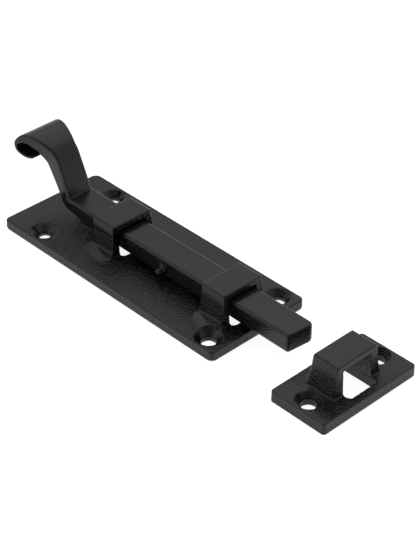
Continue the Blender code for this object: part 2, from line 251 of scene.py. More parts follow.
def round_meet(first, second, radius):
    """What two forms share, with a rounded edge where they cross."""
    over_first = np.maximum(radius + first, 0.0)
    over_second = np.maximum(radius + second, 0.0)
    return np.minimum(-radius, np.maximum(first, second)) + np.hypot(over_first, over_second)


def round_cut(form, cutter, radius):
    return round_meet(form, -cutter, radius)


def round_rectangle(x, y, half_x, half_y, radius):
    across = np.abs(x) - half_x + radius
    along = np.abs(y) - half_y + radius
    outside = np.hypot(np.maximum(across, 0.0), np.maximum(along, 0.0))
    return outside + np.minimum(np.maximum(across, along), 0.0) - radius


def fade(value, start, end):
    """0 before start, 1 after end, and smooth between."""
    way = np.clip((value - start) / (end - start), 0.0, 1.0)
    return way * way * (3 - 2 * way)


def bridge_form(x, y, z, cast, bridge):
    """A bridge's outside: legs with draft, a ledge under the moulded band, and a flared foot."""
    sizes = cast["sizes"]
    x = x - bridge["x"]
    drop = np.clip((BRIDGE_TOP - z) / (BRIDGE_TOP - cast["thickness"]), 0.0, 1.3)
    ledge = bridge["ledge"] * fade(LEDGE_HEIGHT - z, -0.12 * MM, 0.12 * MM) * (y < 0)
    curl = np.clip((cast["thickness"] + FLARE_HEIGHT - z) / FLARE_HEIGHT, 0.0, 1.1) ** 2
    widening = bridge["draft"] * drop + bridge["flare"] * curl
    side = np.abs(y) - (cast["slot_half"] + sizes.leg + widening) + ledge
    forward = np.where(x > 0, bridge["flare_ahead"], bridge["flare_behind"]) * curl
    ends = np.abs(x) - (sizes.bridge_length / 2 + bridge["draft"] / 3 * drop + forward)
    hoop = round_meet(side, z - BRIDGE_TOP, bridge["shoulder"])
    return round_meet(hoop, ends, sizes.crown)


def slot_form(x, y, z, cast, bridge):
    """The way for the bar under a bridge, which goes on down as a window through the plate."""
    sizes = cast["sizes"]
    behind = bridge["x"] - sizes.bridge_length / 2 - sizes.window_behind
    ahead = bridge["x"] + sizes.bridge_length / 2 + cast["window_ahead"]
    window = round_rectangle(
        x - (behind + ahead) / 2, y, (ahead - behind) / 2, cast["slot_half"], 1.4 * MM
    )
    return round_meet(window, z - (BRIDGE_TOP - sizes.strap), 0.6 * MM)


def pad_reach(x, y, pad):
    """How far out in a pad's oval each point lies, 1 at its rim, and how far across it."""
    cosine = math.cos(pad["turn"])
    sine = math.sin(pad["turn"])
    along = (x - pad["centre"][0]) * cosine + (y - pad["centre"][1]) * sine
    across = (y - pad["centre"][1]) * cosine - (x - pad["centre"][0]) * sine
    across = across / pad["half"][1]
    return np.hypot(along / pad["half"][0], across), across


def pad_form(x, y, z, cast, pad):
    """A smooth oval gusset, turned in plan, that slopes up from the plate to the foot of a leg."""
    reach, across = pad_reach(x, y, pad)
    oval = (reach - 1.0) * pad["half"][1]
    rise = cast["sizes"].pad_height * (0.12 + 0.44 * (across + 1))
    return round_meet(oval, (z - cast["thickness"] - rise) * 0.93, 0.3 * MM)


def countersink_form(x, y, z, cast, hole):
    """A through hole with a cone at its mouth; tool rings ripple the cone where the cast is ringed."""
    sizes = cast["sizes"]
    reach = np.hypot(x - hole["centre"][0], y - hole["centre"][1])
    mouth = sizes.countersink / 2
    slope = (mouth - hole["throat"]) / sizes.sink_depth
    ripple = cast["rings"] * np.cos(2 * math.pi * reach / RING_PITCH)
    height = z - cast["thickness"] + sizes.sink_depth
    cone = (reach - hole["throat"] - height * slope) / math.hypot(1, slope)
    return np.minimum(reach - hole["throat"], np.maximum(cone + ripple, reach - mouth))


def casting_form(points, cast):
    """The whole casting: plate, pads, bridges, windows and screw holes."""
    x, y, z = points.T
    middle = cast["middle"]
    corner = np.where(x < middle, cast["tail_corner"], cast["nose_corner"])
    corner = corner * np.where(y < 0, cast["near_share"], 1.0)
    side = round_rectangle(x - middle, y, cast["half_x"], cast["half_y"], corner) + 0.02 * z
    body = round_meet(side, z - cast["thickness"], cast["edge"])
    for pad in cast["pads"]:
        body = round_join(body, pad_form(x, y, z, cast, pad), 0.2 * MM)
    for bridge in cast["bridges"]:
        body = round_join(body, bridge_form(x, y, z, cast, bridge), FOOT_FILLET)
    for bridge in cast["bridges"]:
        body = round_cut(body, slot_form(x, y, z, cast, bridge), cast["slot_edge"])
    for hole in cast["holes"]:
        body = round_cut(body, countersink_form(x, y, z, cast, hole), cast["hole_edge"])
    return round_meet(body, -z, 0.25 * MM)


def slopes(form, points):
    """The form's gradient at each point."""
    step = 0.01 * MM
    found = np.empty_like(points)
    for axis in range(3):
        shift = np.zeros(3)
        shift[axis] = step
        found[:, axis] = (form(points + shift) - form(points - shift)) / (2 * step)
    return found


def settle(form, points, edges):
    """Brings the points onto the form's surface, spaced evenly, and returns them with their normals."""
    ends = np.concatenate((edges[:, 0], edges[:, 1]))
    others = np.concatenate((edges[:, 1], edges[:, 0]))
    count = np.bincount(ends, minlength=len(points))[:, None]
    for turn in range(8):
        if turn in (2, 4):
            total = np.zeros_like(points)
            for axis in range(3):
                total[:, axis] = np.bincount(ends, points[others, axis], len(points))
            points = points * 0.5 + total / count * 0.5
        away = form(points)
        slope = slopes(form, points)
        size = np.maximum((slope**2).sum(axis=1), 0.05)
        move = away[:, None] * slope / size[:, None]
        reach = np.maximum(np.linalg.norm(move, axis=1, keepdims=True) / (0.4 * MM), 1.0)
        points = points - move / reach
    slope = slopes(form, points)
    return points, slope / np.maximum(np.linalg.norm(slope, axis=1, keepdims=True), 1e-9)


def pebbles(points, size, octaves=3):
    """Lumpy heights from -1 to about 1 at the points, for a cast or forged skin."""
    scaled = points / size
    return np.array([noise.fractal(Vector(point), 0.7, 2.1, octaves) for point in scaled])


# --- Meshes ---


def remeshed(name, source, size):
    """A copy of a solid's mesh, made of even square faces."""
    item = bpy.data.objects.new(name, source.copy())
    bpy.context.scene.collection.objects.link(item)
    even = item.modifiers.new("even", "REMESH")
    even.mode = "VOXEL"
    even.voxel_size = size
    graph = bpy.context.evaluated_depsgraph_get()
    mesh = bpy.data.meshes.new_from_object(item.evaluated_get(graph), depsgraph=graph)
    bpy.data.objects.remove(item)
    return mesh


def gathered(items, key, width=3, kind=float):
    """One value of every vertex or edge, as an array of rows."""
    found = np.empty(len(items) * width, kind)
    items.foreach_get(key, found)
    return found.reshape(-1, width)


def settled(form, mesh):
    """The mesh's points brought onto the form, and their normals."""
    edges = gathered(mesh.edges, "vertices", 2, np.int32)
    return settle(form, gathered(mesh.vertices, "co"), edges)


def mesh_of(name, bm):
    mesh = bpy.data.meshes.new(name)
    bm.to_mesh(mesh)
    bm.free()
    return mesh


def write_masks(mesh, **masks):
    for name, values in masks.items():
        layer = mesh.attributes.new(name, "FLOAT", "POINT")
        layer.data.foreach_set("value", np.asarray(values, np.float32))


def finer_where(mesh, wanted):
    """Splits into four every face whose corners are all wanted, by a test of a point."""
    bm = bmesh.new()
    bm.from_mesh(mesh)
    chosen = [edge for edge in bm.edges if all(wanted(vert.co) for vert in edge.verts)]
    bmesh.ops.subdivide_edges(bm, edges=chosen, cuts=1, use_grid_fill=True)
    bm.to_mesh(mesh)
    bm.free()


def in_countersink(point, cast):
    """Whether a point of the upper skin lies in one of the casting's countersinks."""
    reach = min(math.dist(point.xy, hole["centre"]) for hole in cast["holes"])
    return reach < cast["sizes"].countersink / 2 + 0.3 * MM and point.z > cast["thickness"] - 2.4 * MM


def add_piece(name, mesh, material, body, node):
    """Puts a finished mesh in the scene in place of a CAD solid."""
    mesh.materials.clear()
    mesh.materials.append(material)
    mesh.polygons.foreach_set("use_smooth", [True] * len(mesh.polygons))
    item = bpy.data.objects.new(name, mesh)
    bpy.context.scene.collection.objects.link(item)
    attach(item, body)
    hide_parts(node)
    return item


def make_casting(name, cast):
    """A casting's mesh, laid on its rounded form and given its pebbled skin."""
    fine = cast["sizes"].mesh_size * cast["mesh_share"]
    upper = cast["thickness"] - 0.9 * MM
    mesh = remeshed(name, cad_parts[cast["node"]].data, fine * 2)
    finer_where(mesh, lambda point: point.z > upper or in_countersink(point, cast))
    if cast["rings"]:
        finer_where(mesh, lambda point: in_countersink(point, cast))
    points, normals = settled(lambda where: casting_form(where, cast), mesh)
    deep = 0.35 * MM
    crest = np.clip((casting_form(points - normals * deep, cast) + deep) / deep, 0.0, 1.0)
    valley = np.clip((deep - casting_form(points + normals * deep, cast)) / deep, 0.0, 1.0)
    rough = cast["skin"](points, normals)
    lumps = pebbles(points, cast["sizes"].grain_size)
    waves = pebbles(points + 0.1, 9 * MM, 2)
    sunk = rough * cast["sizes"].grain_height * (0.5 - 0.5 * np.clip(lumps * 1.6, -1, 1))
    sunk += 0.05 * MM * np.clip(waves * 0.5 + 0.5, 0, 1) * (points[:, 2] > 1 * MM)
    points = points - normals * sunk[:, None]
    points[:, 2] = np.maximum(points[:, 2], 0.0)
    mesh.vertices.foreach_set("co", points.ravel())
    write_masks(mesh, crest=crest, valley=valley, rough=rough)
    mesh.update()
    return mesh


def plate_skin(points, normals):
    """How pebbled the backplate is: strongest round the bridges, smooth on pads, crowns and tail end."""
    x, y, z = points.T
    skin = 0.25 + 0.75 * fade(x, -42 * MM, -30 * MM) * (1 - 0.3 * fade(x, 44 * MM, 50 * MM))
    near_bar = 1 - fade(np.abs(y), 10 * MM, 17 * MM)
    quiet = np.where(y < 0, 0.7, 0.22)
    skin = skin * (quiet + (1 - quiet) * near_bar)
    above = fade(z, 4.4 * MM, 6.0 * MM)
    leg = 1 - 0.85 * fade(z, 8.5 * MM, 11.8 * MM)
    skin = skin * (1 - above) + above * leg * 0.8
    for pad in FOOT_PADS:
        on_pad = (1 - fade(pad_reach(x, y, pad)[0], 0.85, 1.02)) * (z < 4.8 * MM) * (y < -8.2 * MM)
        skin = skin * (1 - 0.93 * on_pad)
    inside = (np.abs(normals[:, 0]) > 0.8) & (z > 11 * MM)
    skin = np.where(inside, 0.7, skin)
    outer = (z < 3.2 * MM) & (np.abs(normals[:, 2]) < 0.5)
    return np.where(outer, np.where(y < 0, 0.75, 0.4), skin) * (z > 0.05 * MM)


def keep_skin(points, normals):
    """How pebbled the keep is: at the feet of its bridge and on the lip in front of the window."""
    x, y, z = points.T
    near_foot = 1 - fade(np.abs(y), 11.5 * MM, 15.5 * MM)
    ahead = fade(x - KEEP_X, -3 * MM, 3 * MM)
    flat = 0.2 + 0.7 * near_foot * (0.35 + 0.65 * ahead)
    above = fade(z, 5.0 * MM, 6.5 * MM)
    leg = 0.95 - 0.88 * fade(z, 6.5 * MM, 12.5 * MM)
    skin = flat * (1 - above) + above * leg
    inner = (np.abs(y) < 6.4 * MM) & (z > 4.6 * MM) & (z < 12.4 * MM)
    skin = np.where(inner, 0.7, skin)
    for hole in KEEP_HOLES:
        reach = np.hypot(x - hole["centre"][0], y - hole["centre"][1])
        skin = skin * np.where((reach < 4.4 * MM) & (z < 4.2 * MM), 0.12, 1.0)
    outer = (z < 3.6 * MM) & (np.abs(normals[:, 2]) < 0.5)
    return np.where(outer, 0.22, skin) * (z > 0.05 * MM)


def drawn_in(ring):
    """Rings that shrink from an open end to its middle."""
    middle = ring.mean(axis=0)
    return [middle + (ring - middle) * part for part in CAP_SHARES]


def lofted(name, rings):
    """A mesh through rings of the same number of points, with each open end drawn in to its middle."""
    bm = bmesh.new()
    rings = [np.asarray(ring) for ring in rings]
    rings = drawn_in(rings[0])[::-1] + rings + drawn_in(rings[-1])
    loops = [[bm.verts.new(point) for point in ring] for ring in rings]
    count = len(loops[0])
    for lower, upper in zip(loops, loops[1:]):
        for index in range(count):
            after = (index + 1) % count
            bm.faces.new((lower[index], lower[after], upper[after], upper[index]))
    for loop, flip in ((loops[0], True), (loops[-1], False)):
        bm.faces.new(list(reversed(loop)) if flip else loop)
    bmesh.ops.recalc_face_normals(bm, faces=bm.faces)
    return mesh_of(name, bm)


def outline(width, thickness, radius, across_steps, side_steps, corner_steps):
    """A rounded rectangle with its face at zero and its back at thickness, and 1 at each corner."""
    points = []
    marks = []
    half = width / 2
    inner = half - radius
    upper = thickness - radius
    sides = (
        ((inner, 0.0), (-inner, 0.0), (-inner, radius), -90, across_steps),
        ((-half, radius), (-half, upper), (-inner, upper), -180, side_steps),
        ((-inner, thickness), (inner, thickness), (inner, upper), -270, across_steps),
        ((half, upper), (half, radius), (inner, radius), 0, side_steps),
    )
    for start, end, centre, angle, steps in sides:
        for step in range(steps + 1):
            way = step / steps
            points.append((start[0] + (end[0] - start[0]) * way, start[1] + (end[1] - start[1]) * way))
            marks.append(0.0)
        for step in range(1, corner_steps):
            turn = math.radians(angle - 90 * step / corner_steps)
            points.append((centre[0] + radius * math.cos(turn), centre[1] + radius * math.sin(turn)))
            marks.append(math.sin(math.pi * step / corner_steps))
    return np.array(points), np.array(marks)


def bar_stations(sizes):
    """Stations from the nose's root to the tip of the curl: place, heading, thickness and width."""
    top = sizes.underside + sizes.height
    stations = []
    x = BAR_HIGH.x - sizes.far_corner
    while x > sizes.crease + sizes.taper:
        stations.append((x, top, math.pi, sizes.height, sizes.width))
        x -= BAR_STEP
    for step in range(TAPER_STEPS):
        way = step / TAPER_STEPS
        ease = way * way * (3 - 2 * way)
        thickness = sizes.height + (sizes.tail - sizes.height) * ease
        stations.append((sizes.crease + sizes.taper * (1 - way), top, math.pi, thickness, sizes.width))
    x, z, heading, thickness, width = sizes.crease, top, math.pi, sizes.tail, sizes.width
    stations.append((x, z, heading, thickness, width))
    for degrees, radius, end_thickness, end_width in HANDLE_BENDS:
        turn = math.radians(degrees)
        side = 1 if turn > 0 else -1
        steps = max(math.ceil(abs(degrees) / 4), math.ceil(abs(turn) * radius / BAR_STEP))
        centre_x = x - side * radius * math.sin(heading)
        centre_z = z + side * radius * math.cos(heading)
        for step in range(1, steps + 1):
            way = step / steps
            angle = heading + turn * way
            stations.append(
                (
                    centre_x + side * radius * math.sin(angle),
                    centre_z - side * radius * math.cos(angle),
                    angle,
                    thickness + (end_thickness - thickness) * way,
                    width + (end_width - width) * way,
                )
            )
        x, z, heading = stations[-1][:3]
        thickness = end_thickness
        width = end_width
    return stations


def rounded_off(radius, back):
    """How far a corner of that radius has drawn in at a distance back from its tip."""
    return radius - math.sqrt(max(radius**2 - max(radius - back, 0.0) ** 2, 0.0))


def make_bar(sizes):
    """The bar: a rounded nose, a straight shank, a taper, and the handle bent and rolled at its end."""
    rings = []
    marks = []
    top = sizes.underside + sizes.height
    for step in range(NOSE_STEPS):
        swing = math.radians(90 * step / NOSE_STEPS)
        back = sizes.far_corner * (1 - math.cos(swing))
        near = rounded_off(sizes.near_corner, back)
        far = rounded_off(sizes.far_corner, back)
        lid = rounded_off(sizes.nose_face, back)
        width = sizes.width - near - far
        shape, corner = outline(width, sizes.height - 2 * lid, sizes.edge, *BAR_SECTION)
        offset = (near - far) / 2
        rings.append([(BAR_HIGH.x - back, u + offset, top - lid - v) for u, v in shape])
        marks.append(np.maximum(corner, 1 - step / NOSE_STEPS))
    for x, z, heading, thickness, width in bar_stations(sizes):
        radius = min(sizes.edge, thickness * 0.44)
        shape, corner = outline(width, thickness, radius, *BAR_SECTION)
        inward = (-math.sin(heading), math.cos(heading))
        rings.append([(x + inward[0] * v, u, z + inward[1] * v) for u, v in shape])
        marks.append(corner)
    mesh = lofted("bar", rings)
    cap = np.zeros(len(CAP_SHARES) * len(marks[0]))
    crest = np.concatenate([cap, *marks, cap])
    points = gathered(mesh.vertices, "co")
    normals = gathered(mesh.vertices, "normal")
    x, y, z = points.T
    straight = fade(x, -36 * MM, -30 * MM)
    on_sides = straight * 0.75 * fade(np.abs(normals[:, 1]), 0.5, 0.95)
    rough = 0.08 + on_sides + 0.5 * fade(normals[:, 0], 0.6, 0.95)
    lumps = pebbles(points, 1.1 * MM)
    waves = pebbles(points + 0.3, 7 * MM, 2)
    sunk = rough * sizes.forging * (0.5 - 0.5 * np.clip(lumps * 1.5, -1, 1))
    sunk += 0.035 * MM * np.clip(waves * 0.5 + 0.5, 0, 1)
    burr = np.exp(-(((x - BURR_X) / BURR_LENGTH) ** 2) - ((z - BURR_Z) / BURR_HEIGHT) ** 2)
    burr = burr * (normals[:, 1] < -0.8)
    points = points - normals * (sunk - BURR_RISE * burr)[:, None]
    points[:, 0] += sizes.nose_skew * fade(x, 56 * MM, BAR_HIGH.x) * (y / sizes.width + 0.5)
    mesh.vertices.foreach_set("co", points.ravel())
    # Upward faces inside the handle's curl, lightened in the paint as painted light.
    curl_painted_light = (x < -49 * MM) & (z < 27 * MM) & (normals[:, 2] > 0.1)
    write_masks(mesh, crest=crest, valley=curl_painted_light, rough=np.clip(rough, 0, 1))
    mesh.update()
    return mesh


def make_pin(sizes):
    """The stop pin: a round head on a short neck, with a swaged collar against the bar's side."""
    centre_x = (PIN_LOW.x + PIN_HIGH.x) / 2
    centre_z = (PIN_LOW.z + PIN_HIGH.z) / 2
    ball = (PIN_HIGH.z - PIN_LOW.z) / 2
    side = -sizes.width / 2
    ball_y = PIN_LOW.y + ball

    def form(points):
        x, y, z = points.T
        x = x - centre_x
        z = z - centre_z
        head = np.sqrt(x**2 + (y - ball_y) ** 2 + z**2) - ball
        neck = round_meet(np.hypot(x, z) - 0.8 * MM, ball_y - y, 0.2 * MM)
        around = np.hypot((x - 0.1 * MM) / 1.15, (z - 0.5 * MM) / 1.1)
        collar = (np.hypot(around, (y - side) * 3.4) - sizes.collar) * 0.5
        whole = round_join(round_join(head, neck, 0.3 * MM), collar, 0.35 * MM)
        return np.maximum(whole, y - (side + 0.5 * MM))

    bm = bmesh.new()
    bmesh.ops.create_icosphere(bm, subdivisions=5, radius=ball * 1.3)
    bmesh.ops.translate(bm, verts=bm.verts, vec=(centre_x, ball_y + 0.4 * MM, centre_z))
    mesh = mesh_of("pin", bm)
    points, normals = settled(form, mesh)
    lumps = pebbles(points, 0.5 * MM)
    points = points - normals * (0.05 * MM * (0.5 - 0.5 * np.clip(lumps, -1, 1)))[:, None]
    mesh.vertices.foreach_set("co", points.ravel())
    facing = np.clip(-normals[:, 1], 0, 1)
    by_bar = np.clip(1 - np.abs(points[:, 1] - side) / (0.4 * MM), 0, 1)
    write_masks(mesh, crest=facing**3 * 0.5, valley=by_bar, rough=np.full(len(points), 0.3))
    mesh.update()
    return mesh


def make_spring(sizes):
    """The friction spring: a bowed strip with a tab bent down at each end."""
    thick = sizes.spring_thickness
    width = SPRING_HIGH.y - SPRING_LOW.y
    bend = 0.5 * MM
    left = SPRING_LOW.x + thick / 2
    right = SPRING_HIGH.x - thick / 2
    seat = sizes.underside - 1.4 * MM + thick / 2
    crown = SPRING_HIGH.z - thick / 2
    drop = seat - bend - SPRING_LOW.z
    span = right - left - 2 * bend

    def corner(x, first):
        angles = [math.radians(first - 15 * step) for step in range(7)]
        return [(x + bend * math.cos(angle), seat - bend + bend * math.sin(angle)) for angle in angles]

    line = [(left, SPRING_LOW.z + drop * step / 6) for step in range(6)]
    line += corner(left + bend, 180)
    for step in range(1, BOW_STEPS):
        way = step / BOW_STEPS
        line.append((left + bend + span * way, seat + (crown - seat) * math.sin(math.pi * way) ** 2))
    line += corner(right - bend, 90)
    line += [(right, seat - bend - drop * step / 6) for step in range(1, 7)]
    path = np.array(line)
    along = np.gradient(path, axis=0)
    along /= np.linalg.norm(along, axis=1, keepdims=True)
    travel = np.concatenate([[0], np.cumsum(np.linalg.norm(np.diff(path, axis=0), axis=1))])
    rings = []
    for point, heading, gone in zip(path, along, travel):
        end = min(gone, travel[-1] - gone)
        narrow = rounded_off(0.8 * MM, end)
        shape, _corner = outline(width - 2 * narrow, thick, thick * 0.35, 10, 2, 3)
        out_x = -heading[1]
        out_z = heading[0]
        ring = [(u, thick / 2 - v) for u, v in shape]
        rings.append([(point[0] + out_x * off, u, point[1] + out_z * off) for u, off in ring])
    mesh = lofted("spring", rings)
    points = gathered(mesh.vertices, "co")
    crest = fade(np.abs(points[:, 1]), width / 2 - 0.25 * MM, width / 2)
    write_masks(mesh, crest=crest, valley=np.zeros(len(points)), rough=np.full(len(points), 0.2))
    return mesh


# --- Materials ---


def new_group(name, inputs, outputs):
    """An empty shader node group with named sockets: (name, kind, default) and (name, kind)."""
    group = bpy.data.node_groups.new(name, "ShaderNodeTree")
    for label, kind, default in inputs:
        socket = group.interface.new_socket(name=label, in_out="INPUT", socket_type="NodeSocket" + kind)
        if default is not None:
            socket.default_value = default
    for label, kind in outputs:
        group.interface.new_socket(name=label, in_out="OUTPUT", socket_type="NodeSocket" + kind)
    start = group.nodes.new("NodeGroupInput")
    end = group.nodes.new("NodeGroupOutput")
    return group, start, end


def feed(tree, socket, value):
    """Joins a socket to an input, or sets the input to a plain value."""
    if isinstance(value, bpy.types.NodeSocket):
        tree.links.new(value, socket)
    else:
        socket.default_value = value


def node(tree, kind, links=None, **settings):
    """A shader node with its settings and its inputs: values by name, or sockets to join to them."""
    made = tree.nodes.new("ShaderNode" + kind)
    for key, value in settings.items():
        setattr(made, key, value)
    for key, value in (links or {}).items():
        feed(tree, made.inputs[key], value)
    return made


def maths(tree, operation, first, second=0.0, clamp=False):
    return node(tree, "Math", {0: first, 1: second}, operation=operation, use_clamp=clamp).outputs[0]


def product(tree, first, second, clamp=False):
    return maths(tree, "MULTIPLY", first, second, clamp)


def added(tree, first, second):
    return maths(tree, "ADD", first, second)


def clouded(tree, point, scale, detail, roughness=0.5, distortion=0.0):
    """A noise value at a point, with its scale in parts per metre."""
    links = {
        "Vector": point,
        "Scale": scale,
        "Detail": detail,
        "Roughness": roughness,
        "Distortion": distortion,
    }
    return node(tree, "TexNoise", links).outputs["Fac"]


def ramp(tree, value, low, high, to_low=0.0, to_high=1.0):
    """Maps a value between two levels, smoothly and without going past them."""
    links = {"Value": value, "From Min": low, "From Max": high, "To Min": to_low, "To Max": to_high}
    return node(tree, "MapRange", links, interpolation_type="SMOOTHSTEP").outputs["Result"]


def skin_grain_group():
    """Heights of a cast or sprayed skin: broad pebbles, small pits, and the fine orange peel of paint."""
    group, start, end = new_group(
        "skin_grain",
        (
            ("Vector", "Vector", None),
            ("Pebble", "Float", 1100.0),
            ("Peel", "Float", 4200.0),
            ("Rough", "Float", 0.5),
        ),
        (("Height", "Float"), ("Pits", "Float")),
    )
    point = start.outputs["Vector"]
    pebble = clouded(group, point, start.outputs["Pebble"], 4.0, 0.62)
    cells = node(
        group,
        "TexVoronoi",
        {"Vector": point, "Scale": start.outputs["Pebble"], "Randomness": 1.0, "Smoothness": 0.6},
        feature="SMOOTH_F1",
    ).outputs["Distance"]
    peel = clouded(group, point, start.outputs["Peel"], 2.0)
    pits = ramp(group, cells, 0.25, 0.75)
    lumps = maths(group, "SUBTRACT", pebble, product(group, pits, 0.45))
    rough = product(group, lumps, start.outputs["Rough"])
    height = added(group, rough, product(group, peel, 0.07))
    group.links.new(height, end.inputs["Height"])
    group.links.new(product(group, pits, start.outputs["Rough"]), end.inputs["Pits"])
    return group


def edge_wear_group():
    """Where edges are rubbed: the crest mask broken up by noise."""
    group, start, end = new_group(
        "edge_wear",
        (("Vector", "Vector", None), ("Crest", "Float", 0.0), ("Amount", "Float", 0.3)),
        (("Mask", "Float"),),
    )
    point = start.outputs["Vector"]
    broad = clouded(group, point, 260.0, 5.0, 0.7)
    scratch = clouded(group, point, 2600.0, 3.0, 0.65)
    sharp = ramp(group, start.outputs["Crest"], 0.25, 0.9)
    broken = ramp(group, added(group, broad, product(group, scratch, 0.5)), 0.55, 0.95)
    worn = product(group, sharp, broken)
    group.links.new(product(group, worn, start.outputs["Amount"], True), end.inputs["Mask"])
    return group


def hollow_dust_and_light_group():
    """Where the lighter colour goes, on the valley mask and upward faces in soft patches: fine dust in
    the castings' hollows, and painted light inside the bar's curl.
    """
    group, start, end = new_group(
        "hollow_dust_and_light",
        (("Vector", "Vector", None), ("Valley", "Float", 0.0), ("Amount", "Float", 0.3)),
        (("Mask", "Float"),),
    )
    patch = clouded(group, start.outputs["Vector"], 420.0, 6.0, 0.7)
    facing = node(group, "NewGeometry").outputs["Normal"]
    upward = node(group, "SeparateXYZ", {0: facing}).outputs["Z"]
    lies = ramp(group, upward, 0.2, 0.95)
    hollow = added(group, product(group, start.outputs["Valley"], 0.8), 0.06)
    dusted_and_lit = product(group, product(group, hollow, lies), ramp(group, patch, 0.42, 0.75))
    group.links.new(product(group, dusted_and_lit, start.outputs["Amount"], True), end.inputs["Mask"])
    return group


def paint_flow_group():
    """The slow change of a sprayed coat: clouds of thicker paint and a gloss that drifts with them."""
    group, start, end = new_group(
        "paint_flow",
        (("Vector", "Vector", None), ("Clouds", "Float", 90.0), ("Streaks", "Float", 900.0)),
        (("Thin", "Float"), ("Gloss", "Float")),
    )
    point = start.outputs["Vector"]
    clouds = clouded(group, point, start.outputs["Clouds"], 4.0, distortion=0.6)
    specks = clouded(group, point, start.outputs["Streaks"], 3.0)
    thin = ramp(group, added(group, clouds, product(group, specks, 0.35)), 0.5, 0.95)
    gloss = ramp(group, added(group, specks, product(group, clouds, 0.6)), 0.6, 1.05)
    group.links.new(thin, end.inputs["Thin"])
    group.links.new(gloss, end.inputs["Gloss"])
    return group


EFFECTS = {
    "skin_grain": skin_grain_group,
    "edge_wear": edge_wear_group,
    "hollow_dust_and_light": hollow_dust_and_light_group,
    "paint_flow": paint_flow_group,
}


def effect(tree, name, **links):
    """A shared effect in a material; its node group is made the first time it is asked for."""
    made = tree.nodes.new("ShaderNodeGroup")
    made.node_tree = bpy.data.node_groups.get(name) or EFFECTS[name]()
    for key, value in links.items():
        feed(tree, made.inputs[key], value)
    return made


def mixed(tree, factor, first, second):
    """A colour between two colours, each a socket or a plain colour."""
    made = node(tree, "Mix", data_type="RGBA", blend_type="MIX")
    usable = [socket for socket in made.inputs if socket.enabled]
    for socket, value in zip(usable, (factor, first, second)):
        feed(tree, socket, value)
    return next(socket for socket in made.outputs if socket.enabled)


def mask(tree, name):
    return node(tree, "Attribute", attribute_name=name).outputs["Fac"]


def new_material(name):
    """A material, its node tree and its shader."""
    material = bpy.data.materials.new(name)
    material.use_nodes = True
    return material, material.node_tree, material.node_tree.nodes["Principled BSDF"]


def add_bump(tree, shader, height, strength, distance):
    bump = node(tree, "Bump", {"Height": height, "Strength": strength, "Distance": distance})
    tree.links.new(bump.outputs["Normal"], shader.inputs["Normal"])


def painted(name, look, roughness, grain_sizes, wear_share=1.0):
    """Satin black paint over iron: pebbles and orange peel, thin patches, rubbed edges, dust in the
    hollows, and painted light inside the bar's curl.
    """
    pebble, peel, lift = grain_sizes
    material, tree, shader = new_material(name)
    point = node(tree, "TexCoord").outputs["Object"]
    grain = effect(tree, "skin_grain", Vector=point, Pebble=pebble, Peel=peel, Rough=mask(tree, "rough"))
    wear = effect(
        tree, "edge_wear", Vector=point, Crest=mask(tree, "crest"), Amount=look.wear * wear_share
    ).outputs["Mask"]
    dust_and_light = effect(
        tree, "hollow_dust_and_light", Vector=point, Valley=mask(tree, "valley"), Amount=look.dust_and_light_amount
    ).outputs["Mask"]
    flow = effect(tree, "paint_flow", Vector=point, Clouds=90.0, Streaks=900.0)
    coat = mixed(tree, flow.outputs["Thin"], (*look.black, 1), (*look.thin, 1))
    coat = mixed(tree, wear, coat, (*look.bare, 1))
    # The lighter colour on the valley mask: dust in the castings' hollows and at the pin's root, painted
    # light inside the handle's curl on the bar.
    coat = mixed(tree, dust_and_light, coat, (*look.dust_and_light, 1))
    tree.links.new(coat, shader.inputs["Base Color"])
    gloss = ramp(tree, flow.outputs["Gloss"], 0.0, 1.0, roughness - 0.02, roughness + 0.05)
    gloss = added(tree, gloss, product(tree, grain.outputs["Pits"], 0.06))
    gloss = added(tree, gloss, product(tree, dust_and_light, 0.3))
    gloss = maths(tree, "SUBTRACT", gloss, product(tree, wear, 0.1), True)
    tree.links.new(gloss, shader.inputs["Roughness"])
    add_bump(tree, shader, grain.outputs["Height"], 1.0, lift)
    return material


def sprung_steel(name, look):
    """Cold-rolled spring steel: fine lines along the strip, a faint blue temper and dulled edges."""
    material, tree, shader = new_material(name)
    shader.inputs["Metallic"].default_value = 1.0
    shader.inputs["Anisotropic"].default_value = 0.4
    point = node(tree, "TexCoord").outputs["Object"]
    drawn = node(tree, "Mapping", {"Vector": point, "Scale": (60.0, 5200.0, 5200.0)}).outputs["Vector"]
    lines = clouded(tree, drawn, 1.0, 4.0, 0.6)
    flow = effect(tree, "paint_flow", Vector=point, Clouds=140.0, Streaks=1500.0)
    wear = effect(tree, "edge_wear", Vector=point, Crest=mask(tree, "crest"), Amount=0.8).outputs["Mask"]
    temper = mixed(tree, flow.outputs["Thin"], (*look.steel, 1), (0.2, 0.22, 0.29, 1))
    bright = mixed(tree, ramp(tree, lines, 0.35, 0.7, 0.0, 0.35), temper, (0.5, 0.51, 0.53, 1))
    bright = mixed(tree, wear, bright, (0.12, 0.1, 0.09, 1))
    tree.links.new(bright, shader.inputs["Base Color"])
    gloss = ramp(tree, lines, 0.3, 0.75, 0.26, 0.44)
    tree.links.new(added(tree, gloss, product(tree, wear, 0.3)), shader.inputs["Roughness"])
    add_bump(tree, shader, lines, 0.5, 0.02 * MM)
    return material


